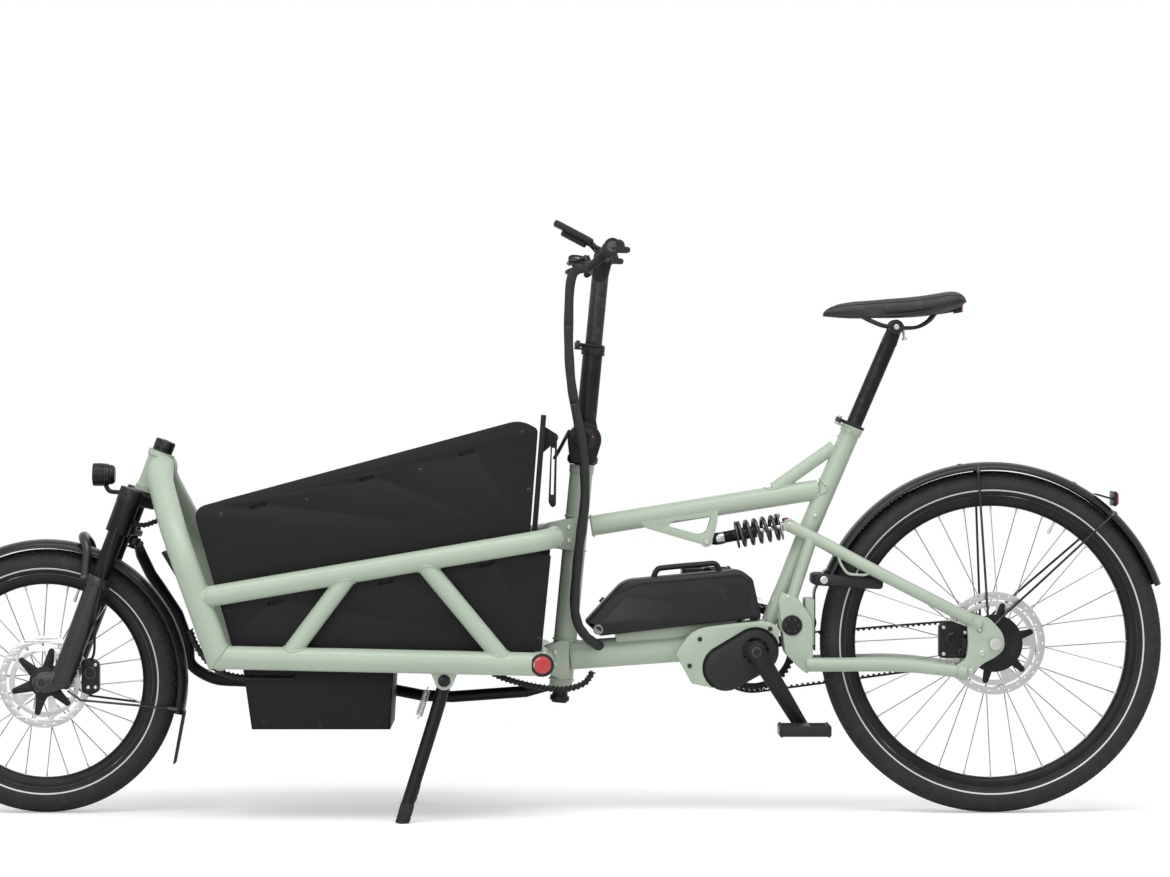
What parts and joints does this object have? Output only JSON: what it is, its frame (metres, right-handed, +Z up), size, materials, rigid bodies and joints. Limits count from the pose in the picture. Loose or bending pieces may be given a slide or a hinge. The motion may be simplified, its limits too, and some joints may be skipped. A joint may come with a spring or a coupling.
{
  "type": "electric cargo bike",
  "caption": "Electric cargo bike with an open box between its front wheel and rider, full suspension, belt drive and a double kickstand.",
  "frame": {"origin": "bottom centre of the bounding box, on the ground under the middle of the bike", "axes": "+X towards the rear wheel, +Y towards the belt side (the rider's right), +Z up; the bike faces -X"},
  "size_m": [2.4415, 0.6414, 1.1593],
  "materials": {
    "sage_paint": "satin pale green paint",
    "coated_board": "dark film-faced board",
    "black_plastic": "matt black",
    "black_rubber": "black rubber",
    "woven_sleeve": "woven black sleeve",
    "black_metal": "black anodised or painted metal",
    "bright_steel": "bare brushed steel",
    "tyre": "black tyre rubber",
    "saddle_cover": "black padded cover"
  },
  "bodies": {
    "frame": {"front_yoke": "sage_paint", "upper_rail": "sage_paint", "side_truss_left": "sage_paint", "side_truss_right": "sage_paint", "steering_tube": "sage_paint", "down_tube": "sage_paint", "top_tube": "sage_paint", "seat_tube": "sage_paint", "cargo_tub": "coated_board", "side_panel_left": "coated_board", "side_panel_right": "coated_board", "rear_panel": "coated_board", "battery": "black_plastic", "motor_unit": "black_plastic", "drive_belt": "black_rubber", "cable_sleeve": "woven_sleeve"},
    "seat_clamp_lever": {"seat_clamp_lever": "black_metal"},
    "swingarm": {"swingarm_left": "sage_paint", "swingarm_right": "sage_paint", "swingarm_yoke": "sage_paint", "pivot_axle": "black_metal", "rear_axle": "bright_steel", "rear_caliper": "black_metal", "rear_fender": "black_plastic"},
    "shock": {"shock_body": "black_metal", "shock_spring": "black_metal"},
    "shock_shaft": {"shock_shaft": "bright_steel"},
    "rear_wheel": {"rear_tyre": "tyre", "rear_rim": "black_metal", "rear_hub": "black_metal", "rear_rotor": "bright_steel"},
    "cranks": {"crank_left": "black_metal", "crank_right": "black_metal"},
    "pedal_left": {"pedal_left": "black_plastic"},
    "pedal_right": {"pedal_right": "black_plastic"},
    "rear_sprocket": {"rear_sprocket": "bright_steel"},
    "belt_idler": {"belt_idler": "black_plastic"},
    "fork": {"fork_upper": "black_metal", "headlamp": "black_plastic"},
    "fork_lowers": {"fork_lowers": "black_metal", "front_caliper": "black_metal", "front_fender": "black_plastic"},
    "front_wheel": {"front_tyre": "tyre", "front_rim": "black_metal", "front_hub": "black_metal", "front_rotor": "bright_steel"},
    "steerer": {"steerer_column": "black_metal"},
    "steering_rod": {"steering_rod": "black_metal"},
    "handlebar_post": {"handlebar_post": "black_metal"},
    "post_clamp_lever": {"post_clamp_lever": "black_metal"},
    "handlebar": {"handlebar": "black_metal", "grip_left": "black_rubber", "grip_right": "black_rubber", "display": "black_plastic"},
    "brake_lever_left": {"brake_lever_left": "black_metal"},
    "brake_lever_right": {"brake_lever_right": "black_metal"},
    "saddle": {"seatpost": "black_metal", "saddle": "saddle_cover"},
    "kickstand": {"kickstand": "black_metal"},
    "parking_brake_lever": {"parking_brake_lever": "black_metal"}
  },
  "joints": [
    {"name": "handlebar_steer", "type": "hinge", "parent": "frame", "child": "steerer", "pos_m": [0.0862, 0, 0.68], "axis": [0.0958, 0, 0.9954], "range_deg": [-27, 27], "deforming": ["cable_sleeve"]},
    {"name": "fork_steer", "type": "hinge", "parent": "frame", "child": "fork", "pos_m": [-0.7894, 0, 0.56534], "axis": [0.3502, 0, 0.9367], "range_deg": [-25.2, 25.2]},
    {"name": "steering_rod_swing", "type": "hinge", "parent": "steerer", "child": "steering_rod", "pos_m": [0.04307, 0.094, 0.23207], "axis": [0.0958, -0.0307, 0.9949], "range_deg": [-27.5, 27.5]},
    {"name": "fork_travel", "type": "slide", "parent": "fork", "child": "fork_lowers", "axis": [0.3502, 0, 0.9367], "range_m": [0, 0.06], "stiffness_N_per_m": 12000, "springref_m": -0.02},
    {"name": "front_wheel_spin", "type": "hinge", "parent": "fork_lowers", "child": "front_wheel", "pos_m": [-0.9625, 0, 0.258], "axis": [0, -1, 0], "continuous": true},
    {"name": "swingarm_pivot", "type": "hinge", "parent": "frame", "child": "swingarm", "pos_m": [0.4944, 0, 0.3688], "axis": [0, -1, 0], "range_deg": [0, 11.1], "stiffness_Nm_per_rad": 3300, "springref_deg": -2.86, "deforming": ["drive_belt"]},
    {"name": "shock_pivot", "type": "hinge", "parent": "frame", "child": "shock", "pos_m": [0.3295, 0, 0.532], "axis": [0, -1, 0], "range_deg": [0, 1.5]},
    {"name": "shock_stroke", "type": "slide", "parent": "shock", "child": "shock_shaft", "axis": [-0.9829, 0, -0.184], "range_m": [0, 0.038], "deforming": ["shock_spring"]},
    {"name": "rear_wheel_spin", "type": "hinge", "parent": "swingarm", "child": "rear_wheel", "pos_m": [0.8865, 0, 0.3345], "axis": [0, -1, 0], "continuous": true},
    {"name": "crank_spin", "type": "hinge", "parent": "frame", "child": "cranks", "pos_m": [0.4238, 0, 0.3183], "axis": [0, -1, 0], "continuous": true},
    {"name": "pedal_left_spin", "type": "hinge", "parent": "cranks", "child": "pedal_left", "pos_m": [0.51201, 0, 0.17298], "axis": [0, -1, 0], "continuous": true},
    {"name": "pedal_right_spin", "type": "hinge", "parent": "cranks", "child": "pedal_right", "pos_m": [0.33559, 0, 0.46362], "axis": [0, -1, 0], "continuous": true},
    {"name": "sprocket_spin", "type": "hinge", "parent": "swingarm", "child": "rear_sprocket", "pos_m": [0.8865, 0, 0.3345], "axis": [0, -1, 0], "continuous": true},
    {"name": "idler_spin", "type": "hinge", "parent": "swingarm", "child": "belt_idler", "pos_m": [0.5292, 0, 0.3685], "axis": [0, -1, 0], "continuous": true},
    {"name": "seat_height", "type": "slide", "parent": "frame", "child": "saddle", "axis": [0.3955, 0, 0.9184], "range_m": [-0.1, 0.06]},
    {"name": "seat_clamp_swing", "type": "hinge", "parent": "frame", "child": "seat_clamp_lever", "pos_m": [0.58655, 0, 0.76267], "axis": [-0.3955, 0, -0.9184], "range_deg": [0, 110]},
    {"name": "post_fold", "type": "hinge", "parent": "steerer", "child": "handlebar_post", "pos_m": [0.09099, 0, 0.72977], "axis": [0, 1, 0], "range_deg": [0, 60]},
    {"name": "post_height", "type": "slide", "parent": "handlebar_post", "child": "handlebar", "axis": [0.0958, 0, 0.9954], "range_m": [-0.04, 0.04]},
    {"name": "post_clamp_swing", "type": "hinge", "parent": "handlebar_post", "child": "post_clamp_lever", "pos_m": [0.0771, 0, 0.90894], "axis": [-0.0958, 0, -0.9954], "range_deg": [0, 50]},
    {"name": "brake_left_pull", "type": "hinge", "parent": "handlebar", "child": "brake_lever_left", "pos_m": [0.092, -0.185, 1.078], "axis": [-0.3231, 0, 0.9464], "range_deg": [0, 22], "stiffness_Nm_per_rad": 2, "springref_deg": -17.19},
    {"name": "brake_right_pull", "type": "hinge", "parent": "handlebar", "child": "brake_lever_right", "pos_m": [0.092, 0.185, 1.078], "axis": [0.3231, 0, -0.9464], "range_deg": [0, 22], "stiffness_Nm_per_rad": 2, "springref_deg": -17.19},
    {"name": "parking_brake_pull", "type": "hinge", "parent": "frame", "child": "parking_brake_lever", "pos_m": [0.03, -0.1425, 0.735], "axis": [0, -1, 0], "range_deg": [0, 40]},
    {"name": "kickstand_fold", "type": "hinge", "parent": "frame", "child": "kickstand", "pos_m": [-0.179, 0, 0.271], "axis": [0, -1, 0], "range_deg": [0, 95]}
  ],
  "couplings": [
    {"joint": "fork_steer", "follows": "handlebar_steer", "ratio": 0.93},
    {"joint": "steering_rod_swing", "follows": "handlebar_steer", "ratio": -1},
    {"joint": "shock_pivot", "follows": "swingarm_pivot", "ratio": 0.125},
    {"joint": "shock_stroke", "follows": "swingarm_pivot", "m_per_rad": 0.1926},
    {"joint": "sprocket_spin", "follows": "crank_spin", "ratio": 2.0833},
    {"joint": "idler_spin", "follows": "crank_spin", "ratio": -4.1335}
  ]
}
